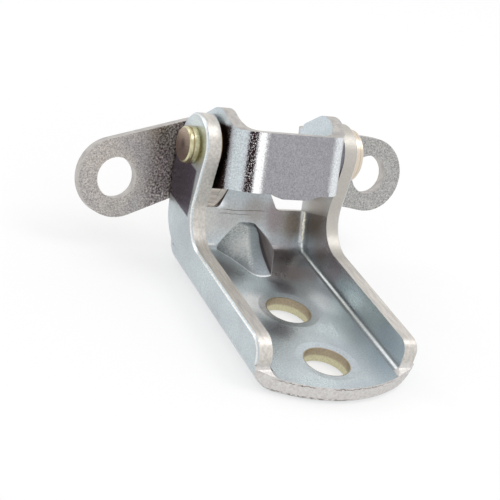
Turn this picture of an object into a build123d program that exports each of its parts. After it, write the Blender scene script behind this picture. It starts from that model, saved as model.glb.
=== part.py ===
from build123d import *
from math import cos, radians, sin, tan
import os

# Car door hinge, in millimetres.
# The pillar bracket lies with its bolting pan flat on Z = 0, the hinge pin runs along X, and the origin
# is on the underside of the pan, halfway between its two bolt holes. The near end points to -Y.

# Pillar bracket: sheet and channel
sheet = 4.5
channel_width = 40.0
wall_height = 12.9
wall_bend_radius = 2.0
bolt_hole_diameter = 12.9
bolt_hole_spacing = 25.2
hole_breakout_depth = 2.5
hole_breakout_width = 0.3
near_end_reach = 12.6
near_end_radius = 37.0
near_end_span = 32.4
wall_end_setback = 7.8
left_end_corner = 6.0
right_end_corner = 3.6
end_blend_height = 5.6
end_blend_reach = 3.1
end_blend_radius = 1.2
outer_edge_bevel = 0.6

# Pillar bracket: upturned rear pan, its notches, its stop tongue and the dart pressed across the bend
rear_pan_y = 45.4
rear_pan_angle = 67.0
rear_bend_radius = 3.0
notch_floor = 12.2
notch_corner_radius = 1.8
tongue_height = 20.5
tongue_root_width = 19.4
tongue_tip_width = 11.0
tongue_tip_radius = 3.0
dart_width = 20.2
dart_reach = 17.4
dart_nose_radius = 2.5
dart_rise = 7.6
dart_top_width = 5.6
dart_top_reach = 2.6
dart_ridge_radius = 1.2

# Pillar bracket: ears
pin_from_bend = 2.5
pin_z = 36.6
ear_radius = 9.2
ear_sweep_radius = 10.5
ear_rear_distance = 11.6
ear_heel_radius = 12.0

# Door strap: sheet, band and legs, measured from the pin
strap_tilt = 17.8
strap_sheet = 3.6
leg_gap = 1.1
band_distance = 16.5
band_bend_radius = 10.0
band_top = 6.9
band_bottom = 10.2
stop_nose_depth = 1.3
stop_nose_width = 15.0
stop_nose_offset = 1.5
stop_nose_radius = 3.0
boss_flank_start = 11.7
boss_flank_radius = 5.0
boss_peak = 12.4
boss_peak_offset = 3.2
boss_peak_radius = 8.0
leg_rear = 9.3
leg_rear_top = 7.2
leg_rear_radius = 1.5
leg_bottom = 12.2
leg_corner_radius = 3.0

# Door strap: tabs
tab_distance = 12.5
tab_bend_radius = 2.5
tab_end_radius = 11.5
tab_hole_diameter = 12.0
tab_root_top = 6.0
tab_root_bottom = 15.6
left_hole_reach = 41.2
left_hole_drop = 12.7
right_hole_reach = 42.8
right_hole_drop = 7.3

# Hinge pin
pin_diameter = 8.0
pin_rivet_diameter = 10.8
pin_rivet_root = 10.2
pin_rivet_root_height = 0.6
pin_rivet_base = 1.9
pin_rivet_step = 0.3
pin_rivet_thickness = 3.2
pin_head_diameter = 15.7
pin_head_base = 1.8
pin_head_step = 0.15
pin_head_thickness = 3.0
pin_edge_bevel = 0.4

# Bushes in the strap's legs
running_clearance = 0.04
bush_wall = 1.0
bush_flange_diameter = 15.0
flange_clearance = 0.05

# Worked out from the sizes above
inner_half = channel_width / 2
outer_half = inner_half + sheet
wall_outer_bend = wall_bend_radius + sheet
hole_y = bolt_hole_spacing / 2
near_tip_y = -hole_y - near_end_reach
pin_y = rear_pan_y + pin_from_bend
wall_end_y = near_tip_y + wall_end_setback
slope = radians(rear_pan_angle)
tilt = radians(strap_tilt)
ear_top_z = pin_z + ear_radius
leg_outer = inner_half - leg_gap
leg_inner = leg_outer - strap_sheet
pin_radius = pin_diameter / 2
bush_bore_radius = pin_radius + running_clearance
bush_radius = bush_bore_radius + bush_wall

# Planes: the inside face of the rear pan, and three planes through the pin that turn with the strap
rear_pan_face = Plane(origin=(0, rear_pan_y, sheet), x_dir=(1, 0, 0), z_dir=(0, -sin(slope), cos(slope)))
strap_plan = Plane(origin=(0, pin_y, pin_z), x_dir=(1, 0, 0), z_dir=(0, sin(tilt), cos(tilt)))
strap_side = Plane(origin=strap_plan.origin, x_dir=strap_plan.y_dir, z_dir=(1, 0, 0))
strap_front = Plane(origin=strap_plan.origin, x_dir=(1, 0, 0), z_dir=-strap_plan.y_dir)


def side_point(place):
    """The Y and Z of a place, for outlines drawn in side view."""
    return (place.Y, place.Z)


def pan_point(rise, depth):
    """Side-view point on the rear pan, a rise along its inside face and a depth behind that face."""
    return side_point(rear_pan_face.from_local_coords(Vector(0, rise, -depth)))


def ear_rear_point(height):
    """Side-view point at a height up the ears' straight rear edge, which is parallel to the tabs at rest."""
    return side_point(strap_side.from_local_coords(Vector(ear_rear_distance, height, 0)))


def outline(*corners):
    """Closed outline through corners given as a point and a corner radius, 0 for a sharp one."""
    points, radii = zip(*corners)
    return FilletPolyline(*points, radius=radii, close=True)


def trough(half_width, depth, edge_radius):
    """Block that fills the bent channel down to one skin of its sheet, rounded along its lower edges."""
    top_rise = 2 * ear_top_z
    near_y = near_tip_y - sheet
    corner_y = rear_pan_y + depth * tan(slope / 2)
    with BuildPart() as block:
        with BuildSketch(Plane.YZ):
            with BuildLine():
                outline(
                    ((near_y, sheet - depth), 0),
                    ((corner_y, sheet - depth), rear_bend_radius + depth),
                    (pan_point(top_rise, depth), 0),
                    ((near_y, pan_point(top_rise, depth)[1]), 0),
                )
            make_face()
        extrude(amount=half_width, both=True)
        side_faces = block.faces().filter_by(Axis.X)
        lower_edges = ShapeList()
        for face in side_faces:
            lower_edges += face.edges().group_by(Axis.Z)[0]
            lower_edges += face.edges().filter_by(GeomType.CIRCLE)
            lower_edges += face.edges().sort_by(Axis.Y)[-1:]
        fillet(lower_edges, edge_radius)
    return block.part


def dart(depth):
    """Three-sided dart on one skin of the sheet: a rounded ridge that climbs the bend to a small blunt top."""
    root_y = rear_pan_y + depth * tan(slope / 2)
    top_y, top_z = pan_point(dart_rise, depth)
    sections = (
        (sheet - depth, root_y, dart_width, dart_reach, dart_nose_radius),
        (top_z, top_y, dart_top_width, dart_top_reach, dart_ridge_radius),
    )
    with BuildPart() as block:
        for height, back_y, width, reach, nose_radius in sections:
            with BuildSketch(Plane.XY.offset(height)):
                with BuildLine():
                    outline(
                        ((-width / 2, back_y), 0),
                        ((0, back_y - reach), nose_radius),
                        ((width / 2, back_y), 0),
                    )
                make_face()
        loft(ruled=True)
    return block.part


# Corners of the bracket's side view
ear_upright_end = ear_rear_point((ear_radius - ear_rear_distance * cos(tilt)) / sin(tilt))
ear_heel = ear_rear_point((wall_outer_bend - pin_z + ear_rear_distance * sin(tilt)) / cos(tilt))
ear_front_y = pin_y - ear_radius


def wall_plate(side, corner_radius):
    """Flat part of one wall with its ear, -1 left and 1 right, its outer edge rolled over as a punch leaves it."""
    with BuildPart() as plate:
        with BuildSketch(Plane.YZ.offset(side * inner_half)):
            with BuildLine():
                outline(
                    ((wall_end_y, wall_outer_bend), 0),
                    (ear_heel, ear_heel_radius),
                    (ear_upright_end, 0),
                    ((pin_y + ear_radius, pin_z), 0),
                    ((ear_front_y, pin_z), 0),
                    ((ear_front_y, wall_height), ear_sweep_radius),
                    ((wall_end_y, wall_height), corner_radius),
                )
            make_face()
            with Locations((pin_y, pin_z)):
                Circle(ear_radius)
        extrude(amount=side * sheet)
        outer_face = plate.faces().filter_by(Axis.X).sort_by(Axis.X)[0 if side < 0 else -1]
        chamfer(outer_face.edges().filter_by(Axis.Y).sort_by(Axis.Z)[-1], outer_edge_bevel)
    return plate.part


# Pillar bracket: bent channel, walls with ears, rear pan with tongue and dart, holes
with BuildPart() as pillar_bracket:
    add(trough(outer_half, sheet, wall_outer_bend))
    with BuildSketch(Plane.YZ):
        with BuildLine():
            outline(
                ((near_tip_y, 0), 0),
                ((rear_pan_y + sheet * tan(slope / 2), 0), rear_bend_radius + sheet),
                (pan_point(notch_floor, sheet), 0),
                (pan_point(notch_floor, -wall_bend_radius), 0),
                (pan_point(wall_bend_radius * tan(slope / 2), -wall_bend_radius), 0),
                ((wall_end_y, wall_outer_bend), 0),
                ((wall_end_y, end_blend_height), end_blend_radius),
                ((wall_end_y - end_blend_reach, sheet), 0),
                ((near_tip_y, sheet), 0),
            )
        make_face()
    extrude(amount=outer_half, both=True, mode=Mode.INTERSECT)

    # Near end, bowed in plan, with its lower edge rolled over
    with BuildSketch(Plane.XY):
        with BuildLine():
            bow_center = (0, near_tip_y + near_end_radius)
            bow_y = bow_center[1] - (near_end_radius**2 - (near_end_span / 2) ** 2) ** 0.5
            bow = RadiusArc((near_end_span / 2, bow_y), (-near_end_span / 2, bow_y), near_end_radius)
            TangentArc((-near_end_span / 2, bow_y), (-outer_half, wall_end_y), tangent=bow % 1)
            TangentArc((near_end_span / 2, bow_y), (outer_half, wall_end_y), tangent=(bow % 0) * -1)
            Polyline(
                (-outer_half, wall_end_y),
                (-outer_half - sheet, wall_end_y),
                (-outer_half - sheet, pin_y + pin_z),
                (outer_half + sheet, pin_y + pin_z),
                (outer_half + sheet, wall_end_y),
                (outer_half, wall_end_y),
            )
        make_face()
    extrude(amount=2 * ear_top_z, mode=Mode.INTERSECT)
    underside = pillar_bracket.faces().filter_by(Axis.Z).sort_by(Axis.Z)[0]
    chamfer(underside.edges().sort_by(Axis.Y)[0], outer_edge_bevel)

    # Walls and ears, then the inside of the channel
    add(wall_plate(-1, left_end_corner))
    add(wall_plate(1, right_end_corner))
    add(trough(inner_half, 0, wall_bend_radius), mode=Mode.SUBTRACT)

    # The notches' floor between the walls, and the tongue that stands on it
    with BuildSketch(Plane.YZ):
        with BuildLine():
            outline(
                (pan_point(notch_floor, -sheet), 0),
                (pan_point(notch_floor, 2 * sheet), 0),
                (pan_point(2 * ear_top_z, 2 * sheet), 0),
                (pan_point(2 * ear_top_z, -sheet), 0),
            )
        make_face()
    extrude(amount=inner_half, both=True, mode=Mode.SUBTRACT)
    with BuildSketch(rear_pan_face):
        with BuildLine():
            outline(
                ((-inner_half + sheet, notch_floor - sheet), 0),
                ((inner_half - sheet, notch_floor - sheet), 0),
                ((inner_half - sheet, notch_floor), 0),
                ((tongue_root_width / 2, notch_floor), notch_corner_radius),
                ((tongue_tip_width / 2, tongue_height), tongue_tip_radius),
                ((-tongue_tip_width / 2, tongue_height), tongue_tip_radius),
                ((-tongue_root_width / 2, notch_floor), notch_corner_radius),
                ((-inner_half + sheet, notch_floor), 0),
            )
        make_face()
    extrude(amount=-sheet)

    # Dart pressed up across the bend, hollow on its back
    add(dart(0))
    add(dart(sheet), mode=Mode.SUBTRACT)

    # Bolt holes with the wider, torn upper part that a punch leaves, and the holes for the pin
    with BuildSketch(Plane.XY):
        with GridLocations(0, bolt_hole_spacing, 1, 2):
            Circle(bolt_hole_diameter / 2)
    extrude(amount=sheet, mode=Mode.SUBTRACT)
    hole_rims = pillar_bracket.edges().filter_by(GeomType.CIRCLE).filter_by(
        lambda edge: abs(edge.radius - bolt_hole_diameter / 2) < running_clearance
    )
    chamfer(hole_rims.group_by(Axis.Z)[-1], length=hole_breakout_depth, length2=hole_breakout_width)
    with BuildSketch(Plane.YZ):
        with Locations((pin_y, pin_z)):
            Circle(pin_radius)
    extrude(amount=outer_half, both=True, mode=Mode.SUBTRACT)

# Door strap: U-shaped band and legs with outward tabs, bent from one sheet
tab_tip_x = max(left_hole_reach, right_hole_reach) + 2 * tab_end_radius
with BuildPart() as door_strap:
    with BuildSketch(strap_plan):
        with BuildLine():
            skin = FilletPolyline(
                (-tab_tip_x, tab_distance),
                (-leg_outer, tab_distance),
                (-leg_outer, -band_distance),
                (leg_outer, -band_distance),
                (leg_outer, tab_distance),
                (tab_tip_x, tab_distance),
                radius=(tab_bend_radius, band_bend_radius, band_bend_radius, tab_bend_radius),
            )
            offset(amount=strap_sheet, side=Side.LEFT)
        make_face()
    extrude(amount=2 * tab_tip_x, both=True)

    # Side view: the band's height, the legs and their round bosses
    with BuildSketch(strap_side):
        with BuildLine():
            outline(
                ((-2 * band_distance, -band_bottom), 0),
                ((-boss_flank_start, -band_bottom), 0),
                ((0, -leg_bottom), 0),
                ((leg_rear, -leg_bottom), leg_corner_radius),
                ((leg_rear, -tab_tip_x), 0),
                ((2 * tab_distance, -tab_tip_x), 0),
                ((2 * tab_distance, tab_root_top), 0),
                ((leg_rear, tab_root_top), 0),
                ((leg_rear, leg_rear_top), leg_rear_radius),
                ((-boss_peak_offset, boss_peak), boss_peak_radius),
                ((-boss_flank_start, band_top), boss_flank_radius),
                ((-2 * band_distance, band_top), 0),
            )
        make_face()
    extrude(amount=tab_tip_x, both=True, mode=Mode.INTERSECT)

    # Front view: each tab's sides run straight from its root to the round end about its hole
    with BuildSketch(strap_front):
        with Locations((0, (boss_peak - tab_root_bottom) / 2)):
            Rectangle(2 * leg_outer, boss_peak + tab_root_bottom)
        for reach, drop in ((-left_hole_reach, left_hole_drop), (right_hole_reach, right_hole_drop)):
            root_x = leg_outer if reach > 0 else -leg_outer
            with BuildSketch(mode=Mode.PRIVATE) as tab:
                with BuildLine():
                    CenterArc((reach, -drop), tab_end_radius, 0, 360)
                    Line((root_x, tab_root_top), (root_x, -tab_root_bottom))
                make_hull()
            add(tab.sketch)
    extrude(amount=tab_tip_x, both=True, mode=Mode.INTERSECT)

    # Stop nose under the band
    with BuildSketch(strap_front.offset(band_distance)):
        with BuildLine():
            nose_left = stop_nose_offset - stop_nose_width / 2
            nose_right = stop_nose_offset + stop_nose_width / 2
            outline(
                ((nose_left - stop_nose_radius, -band_bottom), 0),
                ((nose_left, -band_bottom), stop_nose_radius),
                ((nose_left + stop_nose_radius, -band_bottom - stop_nose_depth), stop_nose_radius),
                ((nose_right - stop_nose_radius, -band_bottom - stop_nose_depth), stop_nose_radius),
                ((nose_right, -band_bottom), stop_nose_radius),
                ((nose_right + stop_nose_radius, -band_bottom), 0),
                ((nose_right + stop_nose_radius, -band_bottom + stop_nose_depth), 0),
                ((nose_left - stop_nose_radius, -band_bottom + stop_nose_depth), 0),
            )
        make_face()
    extrude(amount=-strap_sheet)

    # Holes in the tabs and for the bushes
    with BuildSketch(strap_front):
        with Locations((-left_hole_reach, -left_hole_drop), (right_hole_reach, -right_hole_drop)):
            Circle(tab_hole_diameter / 2)
    extrude(amount=-2 * tab_distance, mode=Mode.SUBTRACT)
    with BuildSketch(strap_side):
        Circle(bush_radius)
    extrude(amount=leg_outer, both=True, mode=Mode.SUBTRACT)

# Hinge pin: plain shank, riveted over on the left, wide stepped head on the right
pin_profile = Plane(origin=strap_plan.origin, x_dir=(1, 0, 0), z_dir=(0, -1, 0))
rivet_radius = pin_rivet_diameter / 2
rivet_cap_radius = rivet_radius - pin_rivet_step
rivet_end = -outer_half - pin_rivet_thickness
head_radius = pin_head_diameter / 2
head_cap_radius = head_radius - pin_head_step
head_end = outer_half + pin_head_thickness
with BuildPart() as hinge_pin:
    with BuildSketch(pin_profile):
        with BuildLine():
            Polyline(
                (rivet_end, 0),
                (rivet_end, rivet_cap_radius - pin_edge_bevel),
                (rivet_end + pin_edge_bevel, rivet_cap_radius),
                (-outer_half - pin_rivet_base, rivet_cap_radius),
                (-outer_half - pin_rivet_base, rivet_radius),
                (-outer_half - pin_rivet_root_height, rivet_radius),
                (-outer_half, pin_rivet_root / 2),
                (-outer_half, pin_radius),
                (outer_half, pin_radius),
                (outer_half, head_radius),
                (outer_half + pin_head_base, head_radius),
                (outer_half + pin_head_base, head_cap_radius),
                (head_end - pin_edge_bevel, head_cap_radius),
                (head_end, head_cap_radius - pin_edge_bevel),
                (head_end, 0),
                close=True,
            )
        make_face()
    revolve(axis=Axis(strap_plan.origin, (1, 0, 0)))

# Flanged bushes: pressed into the legs, each flange between its leg and ear
bush_flange = leg_gap - 2 * flange_clearance


def flanged_bush(side):
    """Bush for the leg on one side, -1 for the left and 1 for the right."""
    with BuildPart() as bush:
        with BuildSketch(pin_profile):
            with BuildLine():
                outline(
                    ((side * leg_inner, bush_bore_radius), 0),
                    ((side * leg_inner, bush_radius), 0),
                    ((side * leg_outer, bush_radius), 0),
                    ((side * leg_outer, bush_flange_diameter / 2), 0),
                    ((side * (leg_outer + bush_flange), bush_flange_diameter / 2), 0),
                    ((side * (leg_outer + bush_flange), bush_bore_radius), 0),
                )
            make_face()
        revolve(axis=Axis(strap_plan.origin, (1, 0, 0)))
    return bush


bush_left = flanged_bush(-1)
bush_right = flanged_bush(1)

os.makedirs("parts", exist_ok=True)
pillar_bracket.part.label = "pillar_bracket"
export_step(pillar_bracket.part, "parts/pillar_bracket.step")
door_strap.part.label = "door_strap"
export_step(door_strap.part, "parts/door_strap.step")
hinge_pin.part.label = "hinge_pin"
export_step(hinge_pin.part, "parts/hinge_pin.step")
bush_left.part.label = "bush_left"
export_step(bush_left.part, "parts/bush_left.step")
bush_right.part.label = "bush_right"
export_step(bush_right.part, "parts/bush_right.step")
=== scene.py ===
import math
import bpy
from mathutils import Matrix, Vector


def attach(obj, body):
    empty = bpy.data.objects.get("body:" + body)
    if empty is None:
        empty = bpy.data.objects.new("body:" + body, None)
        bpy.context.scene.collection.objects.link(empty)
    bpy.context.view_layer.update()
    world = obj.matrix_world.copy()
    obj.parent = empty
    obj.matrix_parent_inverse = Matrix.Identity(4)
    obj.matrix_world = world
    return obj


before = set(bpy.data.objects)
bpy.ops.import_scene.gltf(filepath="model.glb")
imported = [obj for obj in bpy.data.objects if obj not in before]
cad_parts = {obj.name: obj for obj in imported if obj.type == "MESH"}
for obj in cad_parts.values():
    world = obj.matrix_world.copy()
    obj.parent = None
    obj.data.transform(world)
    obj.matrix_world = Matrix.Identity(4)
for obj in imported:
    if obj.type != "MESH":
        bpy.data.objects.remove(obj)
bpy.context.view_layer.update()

# Car door hinge: a zinc plated channel bracket, a zinc plated strap with two tabs, and a yellow passivated pin.
# Metres throughout. Patterns are placed in millimetres from the underside of the pan, as the hinge is drawn.


def linearColour(hexValue):
    parts = [int(hexValue[i:i + 2], 16) / 255 for i in (1, 3, 5)]
    return [p / 12.92 if p <= 0.04045 else ((p + 0.055) / 1.055) ** 2.4 for p in parts] + [1.0]


# Adds a node with its settings; an input takes a link, a number, or a colour as it is written in sRGB
def addNode(tree, kind, inputs=None, **settings):
    node = tree.nodes.new(kind)
    for name, value in settings.items():
        setattr(node, name, value)
    for name, value in (inputs or {}).items():
        socket = node.inputs[name]
        if isinstance(value, bpy.types.NodeSocket):
            tree.links.new(value, socket)
        else:
            socket.default_value = linearColour(value) if isinstance(value, str) else value
    return node


# Camera and studio

studio = {
    "cameraPlace": (-0.1937, -0.2781, 0.1921),
    "cameraRight": (0.886, -0.385, 0.260),
    "cameraDown": (0.028, -0.515, -0.858),
    "lens": 101.47,
    "sensor": 36,
    "clip": (0.01, 20),
    "floorHalf": 3.0,
    "floorDrop": 0.0006,
    "floorColour": "#ffffff",
    "whitening": 0.6,       # how far the floor is lifted to plain white for the eye and for reflections
    "skyLevel": 0.82,
    "lightsAimAt": (0, 0.02, 0.02),
    "lights": {
        "overheadLight": {"at": (0.36, -0.10, 0.80), "size": 0.46, "power": 1.3},
        "frontLight": {"at": (-0.10, -1.00, 0.34), "size": 0.40, "power": 0.5},
        "backLight": {"at": (-0.55, 0.55, 0.70), "size": 0.50, "power": 0.8},
    },
}


def placeCamera():
    right = Vector(studio["cameraRight"]).normalized()
    down = Vector(studio["cameraDown"])
    down = (down - down.dot(right) * right).normalized()
    back = right.cross(-down).normalized()
    camera = bpy.data.objects.new("camera", bpy.data.cameras.new("camera"))
    camera.matrix_world = Matrix((
        (right.x, -down.x, back.x, studio["cameraPlace"][0]),
        (right.y, -down.y, back.y, studio["cameraPlace"][1]),
        (right.z, -down.z, back.z, studio["cameraPlace"][2]),
        (0, 0, 0, 1),
    ))
    camera.data.lens = studio["lens"]
    camera.data.sensor_width = studio["sensor"]
    camera.data.clip_start, camera.data.clip_end = studio["clip"]
    bpy.context.scene.collection.objects.link(camera)
    bpy.context.scene.camera = camera


def placeLight(name, settings):
    lamp = bpy.data.lights.new(name, "AREA")
    lamp.shape = "DISK"
    lamp.size = settings["size"]
    lamp.energy = settings["power"]
    light = bpy.data.objects.new(name, lamp)
    light.location = settings["at"]
    light.rotation_mode = "QUATERNION"
    aim = Vector(studio["lightsAimAt"]) - Vector(settings["at"])
    light.rotation_quaternion = aim.to_track_quat("-Z", "Y")
    bpy.context.scene.collection.objects.link(light)


# 1 for the rays from the camera and from the metal's reflections
def seenByEye(tree):
    path = addNode(tree, "ShaderNodeLightPath")
    return addNode(tree, "ShaderNodeMath", {0: path.outputs["Is Camera Ray"], 1: path.outputs["Is Glossy Ray"]},
                   operation="MAXIMUM").outputs[0]


def layFloor():
    mesh = bpy.data.meshes.new("floor")
    half = studio["floorHalf"]
    low = -studio["floorDrop"]
    mesh.from_pydata([(-half, -half, low), (half, -half, low), (half, half, low), (-half, half, low)], [],
                     [(0, 1, 2, 3)])
    floor = bpy.data.objects.new("floor", mesh)
    bpy.context.scene.collection.objects.link(floor)
    material = bpy.data.materials.new("matt white paper")
    material.use_nodes = True
    tree = material.node_tree
    tree.nodes.clear()
    paper = addNode(tree, "ShaderNodeBsdfDiffuse", {"Color": studio["floorColour"]})
    white = addNode(tree, "ShaderNodeEmission", {"Color": "#ffffff", "Strength": 1.0})
    lift = addNode(tree, "ShaderNodeMath", {0: seenByEye(tree), 1: studio["whitening"]}, operation="MULTIPLY")
    floorShader = addNode(tree, "ShaderNodeMixShader", {0: lift.outputs[0], 1: paper.outputs[0], 2: white.outputs[0]})
    addNode(tree, "ShaderNodeOutputMaterial", {"Surface": floorShader.outputs[0]})
    mesh.materials.append(material)


# The eye and the metal's reflections see plain white; the sky lights the floor at its own, lower level
def lightSky():
    world = bpy.data.worlds.new("studio")
    world.use_nodes = True
    tree = world.node_tree
    tree.nodes.clear()
    sky = addNode(tree, "ShaderNodeBackground", {"Color": "#ffffff", "Strength": studio["skyLevel"]})
    white = addNode(tree, "ShaderNodeBackground", {"Color": "#ffffff", "Strength": 1.0})
    chosen = addNode(tree, "ShaderNodeMixShader", {0: seenByEye(tree), 1: sky.outputs[0], 2: white.outputs[0]})
    addNode(tree, "ShaderNodeOutputWorld", {"Surface": chosen.outputs[0]})
    bpy.context.scene.world = world


placeCamera()
for lightName, lightSettings in studio["lights"].items():
    placeLight(lightName, lightSettings)
layFloor()
lightSky()
bpy.context.scene.view_settings.view_transform = "Standard"
print("camera, floor and lights are in place")


# Patterns that the metals share

# Starts a material and gives the place in millimetres and the direction that the surface faces, both in the
# piece's own axes, so a pattern stays on the metal when the hinge turns
def startMaterial(name):
    material = bpy.data.materials.new(name)
    material.use_nodes = True
    tree = material.node_tree
    tree.nodes.clear()
    texture = addNode(tree, "ShaderNodeTexCoord")
    place = addNode(tree, "ShaderNodeVectorMath", {0: texture.outputs["Object"], 1: (1000, 1000, 1000)},
                    operation="MULTIPLY").outputs[0]
    return material, tree, place, texture.outputs["Normal"]


# Ends a material as metal: its colour, its roughness, and a relief of some millimetres from a height of 0 to 1
def finishMetal(material, tree, colour, roughness, height, relief, strength=1.0, metallic=1.0):
    bump = addNode(tree, "ShaderNodeBump", {
        "Height": height, "Distance": relief / 1000, "Strength": strength}).outputs[0]
    metal = addNode(tree, "ShaderNodeBsdfPrincipled", {
        "Base Color": colour, "Metallic": metallic, "Roughness": roughness, "Normal": bump})
    addNode(tree, "ShaderNodeOutputMaterial", {"Surface": metal.outputs[0]})
    return material


# The place as x, y, z and the facing as nx, ny, nz, and the size of each that counts the same on both sides, with
# an a before its name
def readValues(tree, place, facing, bothSides=()):
    values = dict(zip(("x", "y", "z"), addNode(tree, "ShaderNodeSeparateXYZ", {0: place}).outputs))
    values.update(zip(("nx", "ny", "nz"), addNode(tree, "ShaderNodeSeparateXYZ", {0: facing}).outputs))
    for name in bothSides:
        values["a" + name] = addNode(tree, "ShaderNodeMath", {0: values[name]}, operation="ABSOLUTE").outputs[0]
    return values


# One part of the surface, 1 inside and 0 outside. Each limit names a value and gives its low and high end and how
# soft the ends are: millimetres for a place, -1 to 1 for a facing.
def zone(tree, values, limits):
    inside = None
    for name, (low, high, soft) in limits.items():
        for fromMin, fromMax in ((low - soft, low + soft), (high + soft, high - soft)):
            side = addNode(tree, "ShaderNodeMapRange", {"Value": values[name], "From Min": fromMin,
                                                        "From Max": fromMax}, interpolation_type="SMOOTHSTEP")
            if inside is None:
                inside = side.outputs[0]
            else:
                inside = addNode(tree, "ShaderNodeMath", {0: inside, 1: side.outputs[0]},
                                 operation="MULTIPLY").outputs[0]
    return inside


# 1 where any of the zones is
def anyZone(tree, values, zones, names):
    inside = zone(tree, values, zones[names[0]])
    for name in names[1:]:
        inside = addNode(tree, "ShaderNodeMath", {0: inside, 1: zone(tree, values, zones[name])},
                         operation="MAXIMUM").outputs[0]
    return inside


# Lays tints over a colour, each in its zone, in the order given
def layTints(tree, values, colour, settings, layers):
    for place, tint in layers:
        amount = zone(tree, values, settings["zones"][place])
        colour = addNode(tree, "ShaderNodeMix", {0: amount, 6: colour, 7: settings[tint]},
                         data_type="RGBA").outputs[2]
    return colour


# Two tints in the clouds of a noise, and the noise itself, spread from 0 to 1
def cloudTints(tree, place, first, second, clouding):
    scale, detail, low, high = clouding
    noise = addNode(tree, "ShaderNodeTexNoise", {"Vector": place, "Scale": scale, "Detail": detail}).outputs[0]
    noise = addNode(tree, "ShaderNodeMapRange", {"Value": noise, "From Min": low, "From Max": high}).outputs[0]
    return addNode(tree, "ShaderNodeMix", {0: noise, 6: first, 7: second}, data_type="RGBA").outputs[2], noise


# A value pushed about by a noise, so that a line drawn along it wanders
def wander(tree, place, value, scale, detail, push):
    noise = addNode(tree, "ShaderNodeTexNoise", {"Vector": place, "Scale": scale, "Detail": detail}).outputs[0]
    return addNode(tree, "ShaderNodeMath", {0: noise, 1: push, 2: value}, operation="MULTIPLY_ADD").outputs[0]


# Soft clouds of another tint laid over a colour, each at a place, with its reach and its strength: here painted
# reflections, painted highlights and painted shade
def tintClouds(tree, place, colour, paintedLightClouds):
    for at, reach, tint, strength in paintedLightClouds:
        centred = addNode(tree, "ShaderNodeMapping", {"Vector": place, "Location": at, "Scale": reach},
                          vector_type="TEXTURE").outputs[0]
        distance = addNode(tree, "ShaderNodeVectorMath", {0: centred}, operation="LENGTH").outputs["Value"]
        amount = addNode(tree, "ShaderNodeMapRange", {
            "Value": distance, "From Min": 0.25, "From Max": 1.15, "To Min": strength, "To Max": 0.0,
        }, interpolation_type="SMOOTHSTEP").outputs[0]
        colour = addNode(tree, "ShaderNodeMix", {0: amount, 6: colour, 7: tint}, data_type="RGBA").outputs[2]
    return colour


# Hand-drawn edges for the clouds: the place is pushed about by a coarse noise
def unevenPlace(tree, place, push):
    shift = addNode(tree, "ShaderNodeTexNoise", {"Vector": place, "Scale": 0.16, "Detail": 3.0}).outputs["Color"]
    centred = addNode(tree, "ShaderNodeVectorMath", {0: shift, 1: (0.5, 0.5, 0.5)}, operation="SUBTRACT").outputs[0]
    shift = addNode(tree, "ShaderNodeVectorMath", {0: centred, 1: (push, push, push)}, operation="MULTIPLY").outputs[0]
    return addNode(tree, "ShaderNodeVectorMath", {0: place, 1: shift}, operation="ADD").outputs[0]


# Fine grain of the plating: it darkens and lightens the colour and gives the bump its height
def platingGrain(tree, place, colour, grain):
    speck = addNode(tree, "ShaderNodeTexNoise", {
        "Vector": place, "Scale": 1 / grain["size"], "Detail": 3.0, "Roughness": 0.6}).outputs[0]
    value = addNode(tree, "ShaderNodeMapRange", {
        "Value": speck, "From Min": 0.3, "From Max": 0.7, "To Min": 1 - grain["contrast"],
        "To Max": 1 + grain["contrast"]}).outputs[0]
    grey = addNode(tree, "ShaderNodeCombineColor", {0: value, 1: value, 2: value}).outputs[0]
    grained = addNode(tree, "ShaderNodeMix", {0: grain["amount"], 6: colour, 7: grey}, data_type="RGBA",
                      blend_type="MULTIPLY").outputs[2]
    return grained, speck


# Fine random scratches, each a thin line of a stretched noise
def scratches(tree, place, turn, width):
    turned = addNode(tree, "ShaderNodeMapping", {
        "Vector": place, "Rotation": [math.radians(a) for a in turn], "Scale": (2.2, 0.12, 2.2)}).outputs[0]
    lines = addNode(tree, "ShaderNodeTexNoise", {"Vector": turned, "Scale": 1.0, "Detail": 2.0}).outputs[0]
    return zone(tree, {"lines": lines}, {"lines": (0.5 - width, 0.5 + width, width)})


# Relief of the grain with the scratches cut into it
def grainRelief(tree, place, speck, turn, width):
    marks = scratches(tree, place, turn, width)
    return addNode(tree, "ShaderNodeMath", {0: speck, 1: marks}, operation="SUBTRACT").outputs[0]


# Roughness that follows the slow clouds on the plate and is even on the sheared edges
def plateGloss(tree, slow, edge, settings):
    low, high = settings["roughness"]
    gloss = addNode(tree, "ShaderNodeMapRange", {"Value": slow, "To Min": low, "To Max": high}).outputs[0]
    return addNode(tree, "ShaderNodeMix", {0: edge, 2: gloss, 3: settings["edgeRoughness"]}).outputs[0]


def dress(nodeName, material):
    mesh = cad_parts[nodeName].data
    mesh.materials.clear()
    mesh.materials.append(material)
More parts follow.
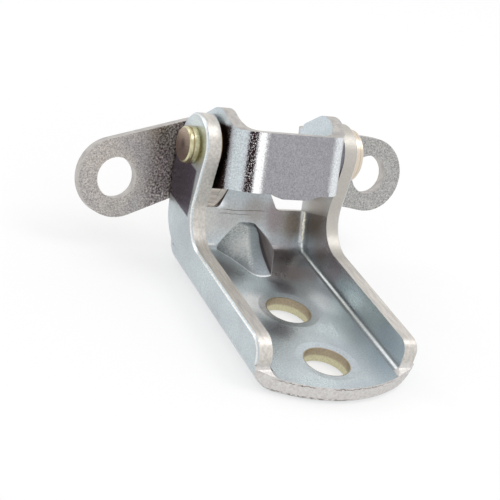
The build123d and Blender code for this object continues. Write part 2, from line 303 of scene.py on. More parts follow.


# Pillar bracket: bright zinc plate on pressed steel. The blue passivation leaves a pale blue-grey mirror-like metal in
# slow clouds, with painted reflections and painted shade laid on it as lavender, brown, dark and white clouds; the
# punched edges are paler, warmer and duller, with drag lines.
bracket = {
    "plate": "#cad4d7",
    "plateCloud": "#bfc7cc",
    "slowClouds": (0.07, 4.0, 0.38, 0.62),     # noise: scale, detail, low and high end
    "cloudPush": 3.0,
    "paintedLightClouds": (
        # place, reach, tint, strength: the pan's painted reflections and painted shade, dark and white
        ((-8.5, 2.5, 4.5), (6.5, 6, 4), "#94959b", 0.9),
        ((-9, 15, 4.5), (7, 8, 4), "#ffffff", 0.95),
        ((-16, 16, 4.5), (4, 12, 4), "#bfc4c6", 0.5),
        ((-12.5, 34, 4.5), (7.5, 9, 4), "#838285", 0.95),
        ((3.2, 25.0, 4.5), (4.5, 6, 4), "#918e96", 0.95),
        ((14.5, -9, 4.5), (6, 8, 4), "#bbc6ca", 0.7),
        ((14, 16, 4.5), (5.0, 8, 4), "#f6fdff", 0.95),
        ((9, 33, 4.5), (12, 7, 4), "#beb4b5", 0.9),
        ((10, 42, 4.5), (12, 6, 5), "#ab9d9e", 0.9),
        ((-2, -19, 4.5), (15, 5, 4), "#cdd5d8", 0.7),
        # the walls' inner faces
        ((-20, 28, 12), (2.5, 34, 14), "#f2f7f8", 0.9),
        ((20, -8, 9), (3, 7, 6), "#b3bdc3", 0.85),
        ((20, 2, 9), (3, 6, 6), "#ccd6d8", 0.8),
        ((20, 13, 9), (3, 7, 6), "#eaf4f7", 0.9),
        ((20, 27, 10), (3, 6, 8), "#bdb9be", 0.9),
        ((20, 36, 12), (3, 7, 9), "#aca3a1", 0.9),
        ((20, 44, 18), (3, 8, 12), "#877d78", 0.95),
        # the left ear, olive beside the pin
        ((-24.5, 42.5, 37), (3, 3, 6), "#b0ac90", 0.7),
        ((-24.5, 50, 42), (3, 7, 3.5), "#d9e1e1", 0.8),
        # the upturned pan, darker towards the right, with a painted highlight at the tongue's root
        ((-14, 49, 12), (8, 6, 9), "#c2bfba", 0.8),
        ((-6, 49, 13), (6, 5, 8), "#b1b0ae", 0.8),
        ((2.5, 50, 15), (6, 5, 7), "#9e9996", 0.85),
        ((9.5, 50, 13), (5, 6, 9), "#958a8b", 0.9),
        ((15.5, 49, 12), (5, 6, 7), "#8f8579", 0.9),
        ((-9.3, 50.8, 17.2), (2.0, 3, 1.8), "#f2f6fc", 0.95),
    ),
    "mirrored": "#5b5462",
    "bendHighlight": "#e4e9ea",
    "bendShade": "#9a9fa2",
    "edge": "#d9d4cd",
    "edgeCloud": "#c4c0bb",
    "farEdge": "#c0bcb5",
    "bowEdge": "#d9d7d4",
    "bowEdgeCloud": "#c9c5c3",
    "edgeLine": "#6b645f",
    "rolledEdgeHighlight": "#e6e7e5",
    "rearBendHighlight": "#ece8d8",
    "holeTop": "#ab9e89",
    "holeLow": "#cdc8a8",
    "zones": {
        # where the left ear mirrors the dark side of the strap's tab, with a sharp lower end
        "mirror": {"x": (-25, -24.2, 0.1), "front": (37.3, 60, 0.6), "z": (17.8, 31.5, 0.35)},
        # the channel's inside bends: a painted highlight along the middle between two lines of painted shade
        "bendShadeLines": {"ax": (17.5, 20.3, 0.2), "z": (4.52, 6.9, 0.05), "y": (-24, 60, 1), "anx": (0.08, 0.97, 0.05)},
        "bendHighlightLine": {"ax": (17.5, 20.3, 0.2), "z": (4.52, 6.9, 0.05), "y": (-24, 60, 1), "anx": (0.52, 0.78, 0.08)},
        # a painted highlight up the inside corner where the right wall meets the upturned pan
        "rearCornerHighlight": {"x": (16.8, 20.2, 0.15), "jagged": (0.88, 1.12, 0.05), "z": (7.5, 16.0, 1.2),
                       "y": (44, 60, 0.5)},
        # coined step lines across the root of the tongue, and a painted highlight on the small ledge beside the dart
        "upperStep": {"x": (-8.0, 5.5, 1.8), "wavy": (11.95, 12.15, 0.12), "panFacing": (0.9, 1.1, 0.05)},
        "lowerStep": {"x": (-9.5, 0.5, 1.8), "wavy": (10.75, 10.9, 0.12), "panFacing": (0.9, 1.1, 0.05)},
        "ledgeHighlight": {"x": (-17.5, -9.8, 0.6), "rise": (0.9, 1.5, 0.15), "z": (4.55, 9, 0.05)},
        # punched edges: the walls' tops and ears, the bowed near end and its corners, the tongue with its notches
        "wallEdge": {"ax": (19.9, 25, 0.05), "z": (6.45, 60, 0.1), "anx": (-0.1, 0.5, 0.06)},
        "endEdge": {"y": (-30, -15.6, 0.4), "z": (-1, 7, 0.2), "ny": (-1.1, -0.4, 0.08)},
        "cornerEdge": {"ax": (17.9, 25, 0.1), "y": (-30, -17.35, 0.1), "z": (4.54, 7.0, 0.03)},
        "tongueEdge": {"ax": (-1, 20, 0.05), "rise": (12.0, 26, 0.06), "panFacing": (-0.1, 0.5, 0.06)},
        "farEdge": {"x": (19.5, 26, 0.2), "y": (26, 70, 4)},
        "lowTear": {"crooked": (1.55, 1.8, 0.15), "y": (-30, -17, 1), "broken": (0.48, 0.9, 0.05), "x": (-22, 2, 4)},
        "highTear": {"crooked": (4.75, 4.95, 0.1), "y": (-30, -17, 1), "breaks": (0.44, 0.9, 0.03),
                     "x": (-19, 17, 2)},
        # a painted highlight along the rolled outer edges of the walls and ears
        "rolledHighlight": {"ax": (24.2, 24.7, 0.08), "z": (6.5, 60, 0.1), "anx": (0.6, 0.86, 0.05)},
        # walls of the bolt holes: a sheared olive band below the torn brown one
        "holeWall": {"fromHole": (-1, 6.72, 0.05)},
        "holeTop": {"z": (2.0, 9, 0.35)},
    },
    "mirrorLean": -0.14,        # how far the mirrored zone's front leans, per millimetre up
    # lines that wander: the value, then the noise's scale and detail and how far it pushes the line
    "wanders": {"jagged": ("anx", 0.9, 4.0, 0.7), "wavy": ("rise", 0.25, 2.0, 0.8), "crooked": ("z", 0.8, 4.0, 1.6)},
    "breaks": {"broken": (0.8, 4.0), "breaks": (0.2, 3.0)},
    "drag": {"stretch": (0.9, 0.10, 0.9), "scale": 1.3, "spread": (0.4, 0.62)},
    "holeFromMiddle": 12.6,
    "roughness": (0.26, 0.36),
    "edgeRoughness": 0.42,
    "grain": {"size": 0.5, "contrast": 0.34, "amount": 0.42},
    "grainEdges": 0.45,
    "scratchTurn": (20, 0, 35),
    "scratchWidth": 0.012,
    "bumpHeight": 0.012,        # millimetres
    "panSlope": 67.0,
    "panRoot": (45.4, 4.5),
}


def bracketMaterial():
    material, tree, place, facing = startMaterial("bright zinc plated pressed steel")
    values = readValues(tree, place, facing, ("x", "nx"))
    zones = bracket["zones"]

    # rise is the way up the upturned pan from its root, panFacing how squarely a surface lies along that pan
    slope = math.radians(bracket["panSlope"])
    rootY, rootZ = bracket["panRoot"]
    rise = addNode(tree, "ShaderNodeVectorMath", {0: place, 1: (0, math.cos(slope), math.sin(slope))},
                   operation="DOT_PRODUCT").outputs["Value"]
    values["rise"] = addNode(tree, "ShaderNodeMath", {0: rise, 1: rootY * math.cos(slope) + rootZ * math.sin(slope)},
                             operation="SUBTRACT").outputs[0]
    panFacing = addNode(tree, "ShaderNodeVectorMath", {0: facing, 1: (0, -math.sin(slope), math.cos(slope))},
                        operation="DOT_PRODUCT").outputs["Value"]
    values["panFacing"] = addNode(tree, "ShaderNodeMath", {0: panFacing}, operation="ABSOLUTE").outputs[0]

    # Lines that wander, and the places where the tears break off
    values["front"] = addNode(tree, "ShaderNodeMath", {0: values["z"], 1: bracket["mirrorLean"], 2: values["y"]},
                              operation="MULTIPLY_ADD").outputs[0]
    for name, (value, scale, detail, push) in bracket["wanders"].items():
        values[name] = wander(tree, place, values[value], scale, detail, push)
    for name, (scale, detail) in bracket["breaks"].items():
        values[name] = addNode(tree, "ShaderNodeTexNoise", {"Vector": place, "Scale": scale,
                                                            "Detail": detail}).outputs[0]

    # Distance from the nearer bolt hole's middle
    fold = addNode(tree, "ShaderNodeMath", {0: values["y"]}, operation="ABSOLUTE").outputs[0]
    folded = addNode(tree, "ShaderNodeCombineXYZ", {0: values["x"], 1: fold}).outputs[0]
    values["fromHole"] = addNode(tree, "ShaderNodeVectorMath", {0: folded, 1: (0, bracket["holeFromMiddle"], 0)},
                                 operation="DISTANCE").outputs["Value"]

    # Plate: two close tints in slow clouds, then the painted reflections and painted shade as clouds where they lie,
    # then the bends with their painted highlights and shade
    colour, slow = cloudTints(tree, place, bracket["plate"], bracket["plateCloud"], bracket["slowClouds"])
    colour = tintClouds(tree, unevenPlace(tree, place, bracket["cloudPush"]), colour, bracket["paintedLightClouds"])
    colour = layTints(tree, values, colour, bracket, (
        ("mirror", "mirrored"), ("bendShadeLines", "bendShade"), ("bendHighlightLine", "bendHighlight"), ("rearCornerHighlight", "rearBendHighlight"),
        ("upperStep", "edgeLine"), ("lowerStep", "edgeLine"), ("ledgeHighlight", "rolledEdgeHighlight")))

    # Punched edges
    ends = anyZone(tree, values, zones, ("endEdge", "cornerEdge"))
    edge = addNode(tree, "ShaderNodeMath", {0: ends, 1: anyZone(tree, values, zones, ("wallEdge", "tongueEdge"))},
                   operation="MAXIMUM").outputs[0]
    drag = addNode(tree, "ShaderNodeMapping", {"Vector": place, "Scale": bracket["drag"]["stretch"]}).outputs[0]
    drag = addNode(tree, "ShaderNodeTexNoise", {"Vector": drag, "Scale": bracket["drag"]["scale"], "Detail": 4.0,
                                                "Roughness": 0.65}).outputs[0]
    low, high = bracket["drag"]["spread"]
    drag = addNode(tree, "ShaderNodeMapRange", {"Value": drag, "From Min": low, "From Max": high}).outputs[0]
    edgeColour, bowColour = [
        addNode(tree, "ShaderNodeMix", {0: drag, 6: bracket[tint], 7: bracket[tint + "Cloud"]},
                data_type="RGBA").outputs[2] for tint in ("edge", "bowEdge")]
    edgeColour = layTints(tree, values, edgeColour, bracket, (("farEdge", "farEdge"),))
    tears = anyZone(tree, values, zones, ("lowTear", "highTear"))
    for amount, tint in ((ends, bowColour), (tears, bracket["edgeLine"])):
        edgeColour = addNode(tree, "ShaderNodeMix", {0: amount, 6: edgeColour, 7: tint}, data_type="RGBA").outputs[2]
    colour = addNode(tree, "ShaderNodeMix", {0: edge, 6: colour, 7: edgeColour}, data_type="RGBA").outputs[2]
    # Painted highlight along the rolled outer edges
    colour = layTints(tree, values, colour, bracket, (("rolledHighlight", "rolledEdgeHighlight"),))

    holeColour = layTints(tree, values, bracket["holeLow"], bracket, (("holeTop", "holeTop"),))
    colour = addNode(tree, "ShaderNodeMix", {0: zone(tree, values, zones["holeWall"]), 6: colour, 7: holeColour},
                     data_type="RGBA").outputs[2]

    grained, speck = platingGrain(tree, place, colour, bracket["grain"])
    grainAmount = addNode(tree, "ShaderNodeMapRange", {"Value": edge, "To Min": 1.0,
                                                       "To Max": bracket["grainEdges"]}).outputs[0]
    colour = addNode(tree, "ShaderNodeMix", {0: grainAmount, 6: colour, 7: grained}, data_type="RGBA").outputs[2]
    height = grainRelief(tree, place, speck, bracket["scratchTurn"], bracket["scratchWidth"])
    return finishMetal(material, tree, colour, plateGloss(tree, slow, edge, bracket), height, bracket["bumpHeight"])


dress("pillar_bracket", bracketMaterial())
print("bracket is plated")


# Door strap: zinc plate on steel that was blasted first, so its grain shows as fine speckle. Warm grey on the
# tabs, cooler on the band, with painted shade where the left tab turns into its leg. Its zones are in the strap's own
# axes,
# from the pin: x across, y backwards and z up.
strap = {
    "plate": "#b9b3ad",
    "plateCloud": "#aeaaaa",
    "slowClouds": (0.09, 4.0, 0.38, 0.62),
    "rightTab": "#acaba9",
    "band": "#9f9ea3",
    "glint": "#f4f5f5",
    # painted reflections, light and dark, along the outside of the two bends: the tint, then how far the surface faces
    # right and the softness
    "paintedReflectionLines": (
        ("#c9d1d5", -0.90, -0.60, 0.05),
        ("#f4f5f5", -0.33, -0.10, 0.06),
        ("#2b1b1f", -0.57, -0.36, 0.03),
        ("#e3e7ea", 0.34, 0.78, 0.12),
        ("#bebbc8", 0.84, 1.05, 0.04),
    ),
    "raggedScale": 3.2,
    "raggedPush": 0.30,
    "glintScale": 4.0,
    "gapShade": "#24130e",
    "boss": "#cbd5da",
    "shadedDark": "#6b6163",
    "shadedLight": "#cfc6c0",
    "shadedSpeckle": (1.6, 3.0, 0.4, 0.64),
    "shadeFrom": (-34.5, -28.5),
    "cloudPush": 2.2,
    "paintedLightClouds": (
        # the left tab: lighter at its warm far end, and painted shade at its dark root
        ((-47, 12.5, -8), (7, 4, 14), "#beb7b1", 0.7),
        ((-20.5, 12.5, -8), (3.5, 5, 16), "#26221d", 0.95),
    ),
    "edge": "#c3bfba",
    "edgeCloud": "#b3afad",
    "edgeDrag": (0.5, 4.0, 0.42, 0.6),
    "zones": {
        "front": {"y": (-20, -6.4, 0.5)},
        "rightTab": {"x": (22, 80, 1.0)},
        "leftRoot": {"x": (-60, -17, 2), "y": (8, 30, 1)},
        "legSide": {"anx": (0.8, 1.2, 0.1), "y": (-9.5, 11, 0.8)},
        "outside": {"y": (-20, -6.2, 0.3), "ny": (-1.1, 0.02, 0.02), "anz": (-0.1, 0.4, 0.05)},
        # painted glints in the dark reflection line on the bends
        "glints": {"y": (-20, -6.2, 0.3), "ny": (-1.1, 0.02, 0.02), "ragged": (-0.60, -0.33, 0.03),
                   "anz": (-0.1, 0.4, 0.05), "speckle": (0.62, 1.0, 0.02)},
        # painted shade on the leg in the gap beside the left ear
        "gapShade": {"x": (-20, -18.2, 0.12), "ragged": (-1.2, -0.925, 0.025), "z": (-20, 7.3, 0.6), "y": (-12, 6, 0.5)},
        "legEdge": {"ax": (15.0, 19.1, 0.05), "y": (-6.4, 11, 0.1), "anx": (-0.1, 0.5, 0.05)},
        "tabEdge": {"ax": (22, 80, 0.3), "any": (-0.1, 0.5, 0.05)},
    },
    "flatFacing": 0.55,
    "roughness": (0.32, 0.44),
    "edgeRoughness": 0.46,
    "grain": {"size": 0.42, "contrast": 0.62, "amount": 1.0},
    "grainTabs": 0.8,
    "grainBand": 0.42,
    "grainLegs": 0.25,
    "grainEdges": 0.12,
    "scratchTurn": (0, 0, 0),
    "scratchWidth": 0.010,
    "bumpHeight": 0.016,    # millimetres
    "pin": (0, 47.9, 36.6),
    "tilt": 17.8,
}


def strapMaterial():
    material, tree, place, facing = startMaterial("zinc plated blasted steel")
    tilt = math.radians(strap["tilt"])
    place = addNode(tree, "ShaderNodeMapping", {
        "Vector": place, "Location": strap["pin"], "Rotation": (-tilt, 0, 0)}, vector_type="TEXTURE").outputs[0]
    facing = addNode(tree, "ShaderNodeMapping", {"Vector": facing, "Rotation": (tilt, 0, 0)},
                     vector_type="VECTOR").outputs[0]
    values = readValues(tree, place, facing, ("x", "nx", "ny", "nz"))
    zones = strap["zones"]

    colour, slow = cloudTints(tree, place, strap["plate"], strap["plateCloud"], strap["slowClouds"])
    colour = layTints(tree, values, colour, strap, (("rightTab", "rightTab"), ("front", "band")))

    # Painted shade: the left tab darkens towards its root in coarse speckle
    shadeStart, shadeEnd = strap["shadeFrom"]
    toRoot = addNode(tree, "ShaderNodeMapRange", {"Value": values["x"], "From Min": shadeStart, "From Max": shadeEnd},
                     interpolation_type="SMOOTHSTEP").outputs[0]
    toRoot = addNode(tree, "ShaderNodeMath", {0: toRoot, 1: zone(tree, values, zones["leftRoot"])},
                     operation="MULTIPLY").outputs[0]
    shaded = cloudTints(tree, place, strap["shadedDark"], strap["shadedLight"], strap["shadedSpeckle"])[0]
    colour = addNode(tree, "ShaderNodeMix", {0: toRoot, 6: colour, 7: shaded}, data_type="RGBA").outputs[2]
    colour = tintClouds(tree, unevenPlace(tree, place, strap["cloudPush"]), colour, strap["paintedLightClouds"])

    # Legs: pale bosses above; the painted shade in the gap beside the ear below is laid on after the bends
    colour = layTints(tree, values, colour, strap, (("legSide", "boss"),))

    # The outside of the two bends: painted reflections as bright and dark lines along each bend, each broken by the
    # grain
    ragged = addNode(tree, "ShaderNodeTexNoise", {"Vector": place, "Scale": strap["raggedScale"], "Detail": 4.0,
                                                  "Roughness": 0.75}).outputs[0]
    ragged = addNode(tree, "ShaderNodeMath", {0: ragged, 1: 0.5}, operation="SUBTRACT").outputs[0]
    values["ragged"] = addNode(tree, "ShaderNodeMath", {0: ragged, 1: strap["raggedPush"], 2: values["nx"]},
                               operation="MULTIPLY_ADD").outputs[0]
    values["speckle"] = addNode(tree, "ShaderNodeTexNoise", {"Vector": place, "Scale": strap["glintScale"],
                                                             "Detail": 2.0}).outputs[0]
    for tint, low, high, soft in strap["paintedReflectionLines"]:
        stripe = zone(tree, values, {**zones["outside"], "ragged": (low, high, soft)})
        colour = addNode(tree, "ShaderNodeMix", {0: stripe, 6: colour, 7: tint}, data_type="RGBA").outputs[2]
    # Painted glints in the dark line, then painted shade in the gap beside the ear
    colour = layTints(tree, values, colour, strap, (("glints", "glint"), ("gapShade", "gapShade")))

    # Sheared edges all round the strip
    flat = addNode(tree, "ShaderNodeMath", {0: values["anz"], 1: strap["flatFacing"]},
                   operation="GREATER_THAN").outputs[0]
    edge = addNode(tree, "ShaderNodeMath", {0: flat, 1: anyZone(tree, values, zones, ("legEdge", "tabEdge"))},
                   operation="MAXIMUM").outputs[0]
    edgeColour = cloudTints(tree, place, strap["edge"], strap["edgeCloud"], strap["edgeDrag"])[0]
    colour = addNode(tree, "ShaderNodeMix", {0: edge, 6: colour, 7: edgeColour}, data_type="RGBA").outputs[2]

    grained, speck = platingGrain(tree, place, colour, strap["grain"])
    grainAmount = strap["grainTabs"]
    for where, amount in ((zone(tree, values, zones["front"]), "grainBand"),
                          (zone(tree, values, zones["legSide"]), "grainLegs"), (edge, "grainEdges")):
        grainAmount = addNode(tree, "ShaderNodeMix", {0: where, 2: grainAmount, 3: strap[amount]}).outputs[0]
    colour = addNode(tree, "ShaderNodeMix", {0: grainAmount, 6: colour, 7: grained}, data_type="RGBA").outputs[2]
    height = grainRelief(tree, place, speck, strap["scratchTurn"], strap["scratchWidth"])
    return finishMetal(material, tree, colour, plateGloss(tree, slow, edge, strap), height, strap["bumpHeight"])


dress("door_strap", strapMaterial())
print("strap is plated")


# Hinge pin: turned steel with a yellow passivation. Brown end faces with turning rings, and a pale yellow rim.
pin = {
    "side": "#d8d3b0",
    "sideCloud": "#b5ac86",
    "sideClouding": (0.35, 4.0, 0.4, 0.6),
    "headSide": "#dccfc0",
    "groove": "#a89e76",
    "face": "#715b52",
    "faceTop": "#b3a190",
    "faceMiddle": "#5a4746",
    "ring": "#cdbfaa",
    "ringStrength": 0.35,
    "ringRelief": 0.25,
    "speckScale": 2.0,
    "zones": {
        "faceTop": {"z": (0.5, 12, 3.0)},
        "middle": {"radius": (-1, 1.3, 1.0)},
        "rivetRoot": {"x": (-25.0, -24.3, 0.12)},
        "rivetGroove": {"x": (-26.7, -26.5, 0.12)},
        "headRoot": {"x": (24.4, 24.7, 0.12)},
        "headGroove": {"x": (26.2, 26.4, 0.12)},
    },
    "headFrom": 24.2,
    "endFacing": 0.9,
    "axis": (0, 47.9, 36.6),
    "roughness": 0.30,
    "bumpHeight": 0.02,     # millimetres
    "ringSpacing": 0.55,    # millimetres between turning marks, coarser than real ones so they show
}


def pinMaterial():
    material, tree, place, facing = startMaterial("yellow passivated turned steel")
    centred = addNode(tree, "ShaderNodeVectorMath", {0: place, 1: pin["axis"]}, operation="SUBTRACT").outputs[0]
    values = readValues(tree, centred, facing, ("nx",))
    across = addNode(tree, "ShaderNodeCombineXYZ", {0: values["y"], 1: values["z"]}).outputs[0]
    values["radius"] = addNode(tree, "ShaderNodeVectorMath", {0: across}, operation="LENGTH").outputs["Value"]

    side = cloudTints(tree, place, pin["side"], pin["sideCloud"], pin["sideClouding"])[0]
    head = addNode(tree, "ShaderNodeMath", {0: values["x"], 1: pin["headFrom"]}, operation="GREATER_THAN").outputs[0]
    side = addNode(tree, "ShaderNodeMix", {0: head, 6: side, 7: pin["headSide"]}, data_type="RGBA").outputs[2]
    side = layTints(tree, values, side, pin, [
        (groove, "groove") for groove in ("rivetRoot", "rivetGroove", "headRoot", "headGroove")])

    face = layTints(tree, values, pin["face"], pin, (("faceTop", "faceTop"), ("middle", "faceMiddle")))
    turning = addNode(tree, "ShaderNodeMath", {0: values["radius"], 1: 2 * math.pi / pin["ringSpacing"]},
                      operation="MULTIPLY").outputs[0]
    turning = addNode(tree, "ShaderNodeMath", {0: turning}, operation="SINE").outputs[0]
    worn = addNode(tree, "ShaderNodeMapRange", {"Value": turning, "From Min": 0.2, "From Max": 1.0,
                                                "To Max": pin["ringStrength"]}).outputs[0]
    face = addNode(tree, "ShaderNodeMix", {0: worn, 6: face, 7: pin["ring"]}, data_type="RGBA").outputs[2]
    endFace = addNode(tree, "ShaderNodeMath", {0: values["anx"], 1: pin["endFacing"]},
                      operation="GREATER_THAN").outputs[0]
    colour = addNode(tree, "ShaderNodeMix", {0: endFace, 6: side, 7: face}, data_type="RGBA").outputs[2]

    speck = addNode(tree, "ShaderNodeTexNoise", {"Vector": place, "Scale": pin["speckScale"],
                                                 "Detail": 3.0}).outputs[0]
    ridges = addNode(tree, "ShaderNodeMath", {0: turning, 1: pin["ringRelief"], 2: speck},
                     operation="MULTIPLY_ADD").outputs[0]
    gloss = addNode(tree, "ShaderNodeMapRange", {
        "Value": speck, "From Min": 0.3, "From Max": 0.7, "To Min": pin["roughness"] - 0.06,
        "To Max": pin["roughness"] + 0.1}).outputs[0]
    return finishMetal(material, tree, colour, gloss, ridges, pin["bumpHeight"])


dress("hinge_pin", pinMaterial())
print("pin is passivated")


# Bushes: sintered bronze, oiled. Dull brown-gold with fine open pores.
bush = {
    "bronze": "#8f7247",
    "oiled": "#4f3f2a",
    "oilClouds": (0.4, 3.0, 0.4, 0.62),
    "litFlange": "#cfcbcb",       # painted light: the right bush's flange is painted pale, as the gap that it fills looks pale, while the left stays bronze
    "litFrom": 18.6,
    "poreSize": 0.25,       # millimetres
    "poreHeight": 0.03,
    "roughness": 0.45,
}


def bushMaterial():
    material, tree, place = startMaterial("oiled sintered bronze")[:3]
    pores = addNode(tree, "ShaderNodeTexVoronoi", {"Vector": place, "Scale": 1 / bush["poreSize"]}).outputs[0]
    colour = cloudTints(tree, place, bush["bronze"], bush["oiled"], bush["oilClouds"])[0]
    across = addNode(tree, "ShaderNodeSeparateXYZ", {0: place}).outputs[0]
    litSide = addNode(tree, "ShaderNodeMath", {0: across, 1: bush["litFrom"]}, operation="GREATER_THAN").outputs[0]
    colour = addNode(tree, "ShaderNodeMix", {0: litSide, 6: colour, 7: bush["litFlange"]}, data_type="RGBA").outputs[2]
    gloss = addNode(tree, "ShaderNodeMapRange", {
        "Value": pores, "From Max": 0.6, "To Min": bush["roughness"] + 0.15, "To Max": bush["roughness"]}).outputs[0]
    return finishMetal(material, tree, colour, gloss, pores, bush["poreHeight"], strength=0.6)


bronze = bushMaterial()
for bushName in ("bush_left", "bush_right"):
    dress(bushName, bronze)
print("bushes are in bronze")


# A closed piece from points in millimetres, which stays with the bracket
def makePiece(name, points, faces, material, smooth):
    mesh = bpy.data.meshes.new(name)
    mesh.from_pydata([tuple(v / 1000 for v in p) for p in points], [], faces)
    for face in mesh.polygons:
        face.use_smooth = smooth
    mesh.materials.append(material)
    piece = bpy.data.objects.new(name, mesh)
    bpy.context.scene.collection.objects.link(piece)
    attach(piece, "bracket")
    return piece


# Pressed dart: the smooth skin over the dart's plain form, round at its left and nose with one sharp ridge at the
# right. Painted light and shade: the left is painted pale with a white painted highlight streak in the mottle, the
# right painted dark, with a thin painted highlight line where it leaves the pan.
dart = {
    # outline from the left rim to the ridge: the share of the way across, and of the reach
    "outline": ((0, 0), (0.147, 0.215), (0.295, 0.443), (0.411, 0.671), (0.488, 0.848), (0.589, 0.962),
                (0.721, 1.0), (0.876, 0.992), (0.97, 0.966), (1.0, 0.949)),
    "outlineSteps": 4,
    "rightShares": (0.03, 0.15, 0.3, 0.45, 0.6, 0.75, 0.9, 0.97, 1.0),
    "levels": (0, 0.03, 0.06, 0.1, 0.2, 0.3, 0.4, 0.5, 0.6, 0.7, 0.8, 0.9, 1.0),
    "domeAngles": (18, 36, 54, 70, 84),
    "foot": {"halfWidth": 10.3, "reach": 15.8, "up": 4.35},
    "top": {"halfWidth": 3.05, "reach": 2.9, "up": 11.5},
    "ridgeAt": 2.6,
    "ridgeSway": 0.9,
    "bulge": (0.25, 0.7),     # how far the left and the right rim bow out
    "dome": 0.5,
    "sunk": 0.4,              # how far its back lies inside the upturned pan
    # Painted light and shade: the lit left face with its highlight, the ridge, the shaded right face, and the rim's
    # highlight
    "left": "#eef2f4",
    "leftHighlight": "#ffffff",
    "leftGrey": "#a9b0b4",
    "ridge": "#a9b1b7",
    "right": "#aaa2a3",
    "rightShade": "#6b6467",
    "rightLow": "#d6cfcd",
    "rimHighlight": "#ffffff",
    "rimStrength": 0.75,
    "streakAt": (-4.6, 41, 8.5),
    "streakReach": (0.5, 6.0),
    "greyBetween": (4.5, 7.0),
    "mottleScale": 1.1,
    "spotScale": 2.2,
    "zones": {
        "left": {"nx": (-1.2, -0.32, 0.22)},
        "right": {"nx": (0.24, 1.2, 0.06)},
        "rightLow": {"x": (6.5, 13, 2.0)},
        "rightShade": {"x": (-1, 3.6, 0.9)},
    },
    "roughness": 0.48,
    "bumpHeight": 0.02,       # millimetres
}


# A smooth line through the points, with some steps from each to the next
def smoothLine(points, steps):
    line = []
    for i in range(len(points) - 1):
        near = [points[max(0, min(len(points) - 1, i + k))] for k in (-1, 0, 1, 2)]
        for t in (step / steps for step in range(steps)):
            line.append([0.5 * (2 * b + (c - a) * t + (2 * a - 5 * b + 4 * c - d) * t ** 2
                                + (3 * b - a - 3 * c + d) * t ** 3) for a, b, c, d in zip(*near)])
    return line + [list(points[-1])]


# Rings from the foot to the top, closed by a low dome; rims tells the points along the line that leaves the pan
def dartMesh():
    slope = math.radians(bracket["panSlope"])
    rootY, rootZ = bracket["panRoot"]
    foot, top = dart["foot"], dart["top"]
    leftLine = smoothLine(dart["outline"], dart["outlineSteps"])
    endShare = dart["outline"][-1][1]
    rightLine = [(v, endShare * (1 - v)) for v in dart["rightShares"]]
    levels = [(t, 1.0, foot["up"] + (top["up"] - foot["up"]) * t) for t in dart["levels"]]
    levels += [(1.0, math.cos(math.radians(a)), top["up"] + dart["dome"] * math.sin(math.radians(a)))
               for a in dart["domeAngles"]]
    points, rims, faces = [], [], []
    for t, shrink, up in levels:
        halfWidth, reach = [foot[k] + (top[k] - foot[k]) * t for k in ("halfWidth", "reach")]
        bow = math.sin(math.pi * t)
        leftRim, rightRim = -halfWidth - dart["bulge"][0] * bow, halfWidth + dart["bulge"][1] * bow
        ridge = min(dart["ridgeAt"] - dart["ridgeSway"] * bow, rightRim * 0.7)
        backY = rootY + (up - rootZ) / math.tan(slope)
        ring = [(leftRim + (ridge - leftRim) * u, share) for u, share in leftLine]
        ring += [(ridge + (rightRim - ridge) * v, share) for v, share in rightLine]
        for x, share in ring:
            points.append((x * shrink, backY - reach * shrink * share, up))
            rims.append(1.0 if t <= 0.03 or share < 0.03 or shrink < 0.2 else 0.0)
        for x in (rightRim, leftRim):
            points.append((x * shrink, backY + dart["sunk"], up))
            rims.append(1.0)
    around = len(ring) + 2
    for level in range(len(levels) - 1):
        for i in range(around):
            low, high = level * around, (level + 1) * around
            faces.append((low + i, low + (i + 1) % around, high + (i + 1) % around, high + i))
    faces.append(tuple(reversed(range(around))))
    faces.append(tuple(range((len(levels) - 1) * around, len(levels) * around)))
    return points, rims, faces


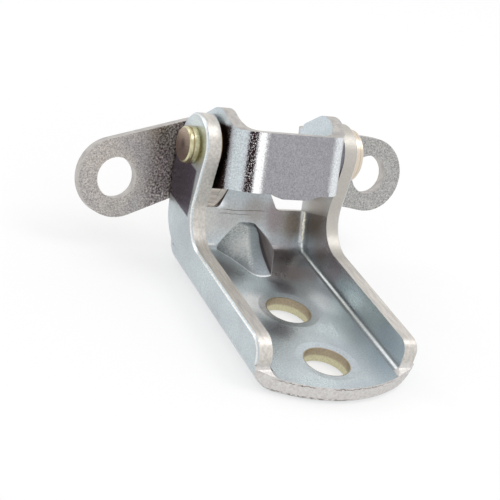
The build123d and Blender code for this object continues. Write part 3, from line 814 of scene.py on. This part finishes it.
def dartMaterial():
    material, tree, place, facing = startMaterial("zinc plated drawn steel")
    values = readValues(tree, place, facing)
    zones = dart["zones"]

    # A painted white highlight streak breaks up into the mottle around it
    mottle = addNode(tree, "ShaderNodeTexNoise", {"Vector": place, "Scale": dart["mottleScale"], "Detail": 4.0,
                                                  "Roughness": 0.7}).outputs[0]
    streak = addNode(tree, "ShaderNodeVectorMath", {0: place, 1: dart["streakAt"]},
                     operation="DISTANCE").outputs["Value"]
    near, far = dart["streakReach"]
    streak = addNode(tree, "ShaderNodeMapRange", {"Value": streak, "From Min": near, "From Max": far, "To Min": 0.40,
                                                  "To Max": -0.14}).outputs[0]
    shine = addNode(tree, "ShaderNodeMath", {0: mottle, 1: streak}, operation="ADD").outputs[0]
    shine = addNode(tree, "ShaderNodeMapRange", {"Value": shine, "From Min": 0.5, "From Max": 0.85}).outputs[0]
    # The left face turns greyer towards its foot and in spots
    low, high = dart["greyBetween"]
    greyToFoot = addNode(tree, "ShaderNodeMapRange", {"Value": values["z"], "From Min": low, "From Max": high,
                                                "To Min": 1.0, "To Max": 0.0},
                   interpolation_type="SMOOTHSTEP").outputs[0]
    spots = addNode(tree, "ShaderNodeTexNoise", {"Vector": place, "Scale": dart["spotScale"], "Detail": 3.0,
                                                 "Roughness": 0.7}).outputs[0]
    spots = addNode(tree, "ShaderNodeMapRange", {"Value": spots, "From Min": 0.46, "From Max": 0.62,
                                                 "To Max": 0.75}).outputs[0]
    leftColour = dart["left"]
    for amount, tint in ((greyToFoot, "leftGrey"), (spots, "leftGrey"), (shine, "leftHighlight")):
        leftColour = addNode(tree, "ShaderNodeMix", {0: amount, 6: leftColour, 7: dart[tint]},
                             data_type="RGBA").outputs[2]

    # Painted shade on the right face: darkest beside the ridge, lighter further right
    rightColour = layTints(tree, values, dart["right"], dart, (("rightLow", "rightLow"), ("rightShade", "rightShade")))
    # Painted highlight along the rim where the dart leaves the pan
    rimHighlight = addNode(tree, "ShaderNodeAttribute", attribute_name="rimHighlight").outputs["Fac"]
    rimHighlight = addNode(tree, "ShaderNodeMath", {0: rimHighlight, 1: dart["rimStrength"]}, operation="MULTIPLY").outputs[0]
    # The left face is painted lit and the right face painted in shade, chosen by the way each faces
    colour = dart["ridge"]
    for amount, tint in ((zone(tree, values, zones["left"]), leftColour),
                         (zone(tree, values, zones["right"]), rightColour), (rimHighlight, dart["rimHighlight"])):
        colour = addNode(tree, "ShaderNodeMix", {0: amount, 6: colour, 7: tint}, data_type="RGBA").outputs[2]
    colour, speck = platingGrain(tree, place, colour, bracket["grain"])
    gloss = addNode(tree, "ShaderNodeMapRange", {
        "Value": mottle, "From Min": 0.3, "From Max": 0.7, "To Min": dart["roughness"] - 0.06,
        "To Max": dart["roughness"] + 0.08}).outputs[0]
    return finishMetal(material, tree, colour, gloss, speck, dart["bumpHeight"])


dartPoints, dartRims, dartFaces = dartMesh()
dartPiece = makePiece("pressed_dart", dartPoints, dartFaces, dartMaterial(), True)
dartPiece.data.attributes.new("rimHighlight", "FLOAT", "POINT").data.foreach_set("value", dartRims)
print("dart is smooth")


# Torn corner: the punch left a slanting torn face in the notch left of the tongue, cream with dark cracks
corner = {
    # up the pan from its root, the tongue's side there, and how far the tear leans out at the back
    "course": ((11.6, -11.6, 2.6), (12.4, -11.2, 3.0), (13.2, -10.2, 3.3), (14.2, -9.3, 3.6), (15.5, -8.3, 3.9),
               (17.0, -7.4, 4.2), (18.2, -6.8, 3.6), (19.2, -6.3, 1.6), (19.8, -5.9, 0.2)),
    "front": 0.12,
    "back": 4.35,
    "sunk": 0.5,            # how far it lies inside the tongue
    "torn": "#f6eee6",
    "tornCloud": "#e6dbd1",
    "crack": "#75695f",
    "crackSpacing": 1.15,
    "crackSway": 1.6,
    "waverScale": 0.5,
    "zones": {
        "crack": {"lines": (-0.2, 0.03, 0.04), "waver": (0.1, 0.52, 0.05)},
        "lip": {"deep": (-1, 0.3, 0.08)},
    },
    "metallic": 0.45,       # the torn grain scatters light, so it looks only part metal
    "roughness": 0.5,
    "bumpHeight": 0.1,      # millimetres
}


def cornerMesh():
    slope = math.radians(bracket["panSlope"])
    rootY, rootZ = bracket["panRoot"]
    front, back = corner["front"], corner["back"]
    points, faces = [], []
    for up, side, lean in corner["course"]:
        for x, deep in ((side, front), (side - lean, back), (side + corner["sunk"], back)):
            points.append((x, rootY + up * math.cos(slope) + deep * math.sin(slope),
                           rootZ + up * math.sin(slope) - deep * math.cos(slope)))
    last = len(corner["course"]) - 1
    for level in range(last):
        for i in range(3):
            low, high = level * 3, level * 3 + 3
            faces.append((low + i, high + i, high + (i + 1) % 3, low + (i + 1) % 3))
    faces.append((0, 1, 2))
    faces.append((last * 3 + 2, last * 3 + 1, last * 3))
    return points, faces


def cornerMaterial():
    material, tree, place = startMaterial("torn plated steel")[:3]
    slope = math.radians(bracket["panSlope"])
    rootY, rootZ = bracket["panRoot"]
    deep = addNode(tree, "ShaderNodeVectorMath", {0: place, 1: (0, math.sin(slope), -math.cos(slope))},
                   operation="DOT_PRODUCT").outputs["Value"]
    deep = addNode(tree, "ShaderNodeMath", {0: deep, 1: rootY * math.sin(slope) - rootZ * math.cos(slope)},
                   operation="SUBTRACT").outputs[0]
    waver = addNode(tree, "ShaderNodeTexNoise", {"Vector": place, "Scale": corner["waverScale"],
                                                 "Detail": 3.0}).outputs[0]
    lines = addNode(tree, "ShaderNodeMath", {0: waver, 1: corner["crackSway"], 2: deep},
                    operation="MULTIPLY_ADD").outputs[0]
    lines = addNode(tree, "ShaderNodeMath", {0: lines, 1: corner["crackSpacing"]}, operation="PINGPONG").outputs[0]
    values = {"deep": deep, "waver": waver, "lines": lines}
    crack = anyZone(tree, values, corner["zones"], ("crack", "lip"))
    colour = addNode(tree, "ShaderNodeMix", {0: waver, 6: corner["torn"], 7: corner["tornCloud"]},
                     data_type="RGBA").outputs[2]
    colour = addNode(tree, "ShaderNodeMix", {0: crack, 6: colour, 7: corner["crack"]}, data_type="RGBA").outputs[2]
    return finishMetal(material, tree, colour, corner["roughness"], lines, corner["bumpHeight"], strength=0.4,
                       metallic=corner["metallic"])


makePiece("torn_corner", *cornerMesh(), cornerMaterial(), False)
print("torn corner is in")
